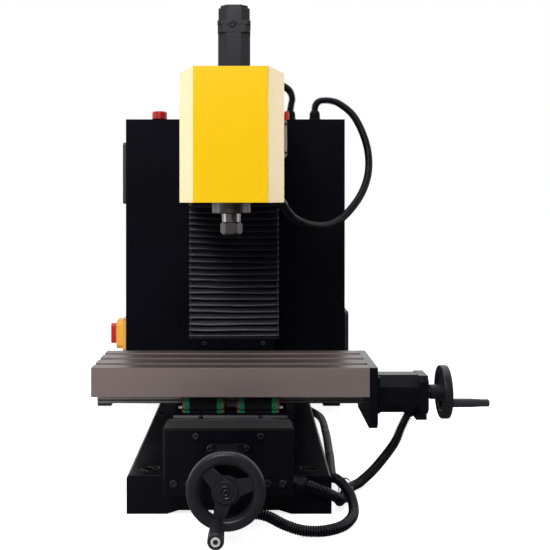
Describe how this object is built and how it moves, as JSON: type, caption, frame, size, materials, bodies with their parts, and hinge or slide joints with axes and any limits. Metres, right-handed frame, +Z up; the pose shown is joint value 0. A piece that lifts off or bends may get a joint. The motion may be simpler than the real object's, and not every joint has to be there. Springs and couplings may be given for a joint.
{
  "type": "desktop cnc milling machine",
  "caption": "Bench milling machine with a ball-screw table and saddle, a bellows-guarded vertical head under a bent yellow cover, handwheels on the motors and a control cabinet behind",
  "frame": {"origin": "centre of the base's hold-down hole pattern, on the floor plane under the feet", "axes": "+X to the operator's right along the table, +Y away from the operator toward the column, +Z up"},
  "size_m": [0.6244, 0.8705, 0.765],
  "materials": {
    "black_paint": "semi-gloss black paint with a light orange-peel texture",
    "cabinet_black": "matt black powder coat",
    "motor_black": "satin black enamel",
    "motor_grey": "satin dark grey enamel",
    "steel": "ground bearing steel",
    "block_black": "black oxide steel",
    "screw_black": "black oxide cap screws",
    "cap_green": "moulded green plastic",
    "seal_red": "red seal lip",
    "table_iron": "ground and milled grey iron",
    "cover_yellow": "smooth golden yellow powder coat",
    "bellows_black": "coated black bellows cloth",
    "conduit_black": "corrugated black plastic",
    "wheel_grey": "satin dark grey bakelite",
    "grip_black": "satin black bakelite",
    "grip_metal": "dark anodised aluminium",
    "vent_grey": "dark grey moulded plastic",
    "switch_yellow": "signal yellow plastic",
    "signal_red": "signal red plastic",
    "supply_metal": "perforated sheet case",
    "board_green": "printed circuit board"
  },
  "bodies": {
    "frame": {"base": "black_paint", "column": "black_paint", "y_rails": "steel", "z_rails": "steel", "bearing_blocks": "block_black", "y_motor_bracket": "black_paint", "y_motor": "motor_black", "z_motor_plate": "black_paint", "z_motor": "motor_grey", "z_bellows": "bellows_black", "bellows_bracket": "black_paint", "y_way_cover": "bellows_black", "cabinet": "cabinet_black", "cabinet_rear_panel": "cabinet_black", "power_supply": "supply_metal", "motor_drivers": "motor_grey", "controller_board": "board_green", "vent_covers": "vent_grey", "switch_plate": "switch_yellow", "estop_base": "conduit_black", "cable_glands": "conduit_black", "conduit_spindle": "conduit_black", "conduit_z": "conduit_black", "conduit_y": "conduit_black", "conduit_x_lower": "conduit_black", "cable_tie": "conduit_black", "frame_screws": "screw_black"},
    "switch_knob": {"switch_knob": "signal_red"},
    "estop_button": {"estop_button": "signal_red"},
    "saddle": {"saddle": "black_paint", "y_carriages": "block_black", "x_carriages": "block_black", "carriage_caps": "cap_green", "carriage_seals": "seal_red", "ball_nuts": "steel", "saddle_screws": "screw_black"},
    "table": {"table": "table_iron", "x_rails": "steel", "x_end_plate": "black_paint", "x_motor": "motor_black", "x_bearing_blocks": "block_black", "conduit_x_upper": "conduit_black"},
    "x_screw": {"x_screw": "steel", "x_handwheel": "wheel_grey"},
    "x_grip": {"x_grip": "grip_metal"},
    "y_screw": {"y_screw": "steel", "y_handwheel": "wheel_grey"},
    "y_grip": {"y_grip": "grip_black"},
    "z_screw": {"z_screw": "steel"},
    "head": {"head_casting": "black_paint", "z_carriages": "block_black", "z_nut": "steel", "head_cover": "cover_yellow", "spindle_cartridge": "steel", "spindle_bearings": "steel", "spindle_motor": "motor_grey", "side_plate": "steel", "air_plug": "signal_red"},
    "spindle": {"spindle_shaft": "steel", "collet_nut": "steel"}
  },
  "joints": [
    {"name": "y_slide", "type": "slide", "parent": "frame", "child": "saddle", "axis": [0, 1, 0], "range_m": [-0.06, 0.075], "deforming": ["y_way_cover", "conduit_x_lower", "cable_tie"]},
    {"name": "x_slide", "type": "slide", "parent": "saddle", "child": "table", "axis": [1, 0, 0], "range_m": [-0.11, 0.11], "deforming": ["conduit_x_upper"]},
    {"name": "z_slide", "type": "slide", "parent": "frame", "child": "head", "axis": [0, 0, 1], "range_m": [-0.18, 0], "deforming": ["z_bellows", "conduit_spindle"]},
    {"name": "y_screw_turn", "type": "hinge", "parent": "frame", "child": "y_screw", "pos_m": [0, -0.2, 0.079], "axis": [0, 1, 0], "continuous": true},
    {"name": "x_screw_turn", "type": "hinge", "parent": "table", "child": "x_screw", "pos_m": [0, -0.094, 0.133], "axis": [1, 0, 0], "continuous": true},
    {"name": "z_screw_turn", "type": "hinge", "parent": "frame", "child": "z_screw", "pos_m": [0, 0.126, 0.4], "axis": [0, 0, 1], "continuous": true},
    {"name": "y_grip_spin", "type": "hinge", "parent": "y_screw", "child": "y_grip", "pos_m": [-0.01009, -0.4, 0.04133], "axis": [0, 1, 0], "continuous": true},
    {"name": "x_grip_spin", "type": "hinge", "parent": "x_screw", "child": "x_grip", "pos_m": [0.35, -0.12556, 0.12335], "axis": [1, 0, 0], "continuous": true},
    {"name": "spindle_turn", "type": "hinge", "parent": "head", "child": "spindle", "pos_m": [0, -0.094, 0.45], "axis": [0, 0, 1], "continuous": true},
    {"name": "estop_press", "type": "slide", "parent": "frame", "child": "estop_button", "axis": [0, 0, 1], "range_m": [-0.004, 0], "stiffness_N_per_m": 600, "springref_m": 0.002},
    {"name": "switch_turn", "type": "hinge", "parent": "frame", "child": "switch_knob", "pos_m": [-0.24, 0.28, 0.165], "axis": [-1, 0, 0], "range_deg": [0, 90]}
  ],
  "couplings": [
    {"joint": "y_screw_turn", "follows": "y_slide", "rad_per_m": -1256.6},
    {"joint": "x_screw_turn", "follows": "x_slide", "rad_per_m": 1256.6},
    {"joint": "z_screw_turn", "follows": "z_slide", "rad_per_m": -1256.6}
  ]
}
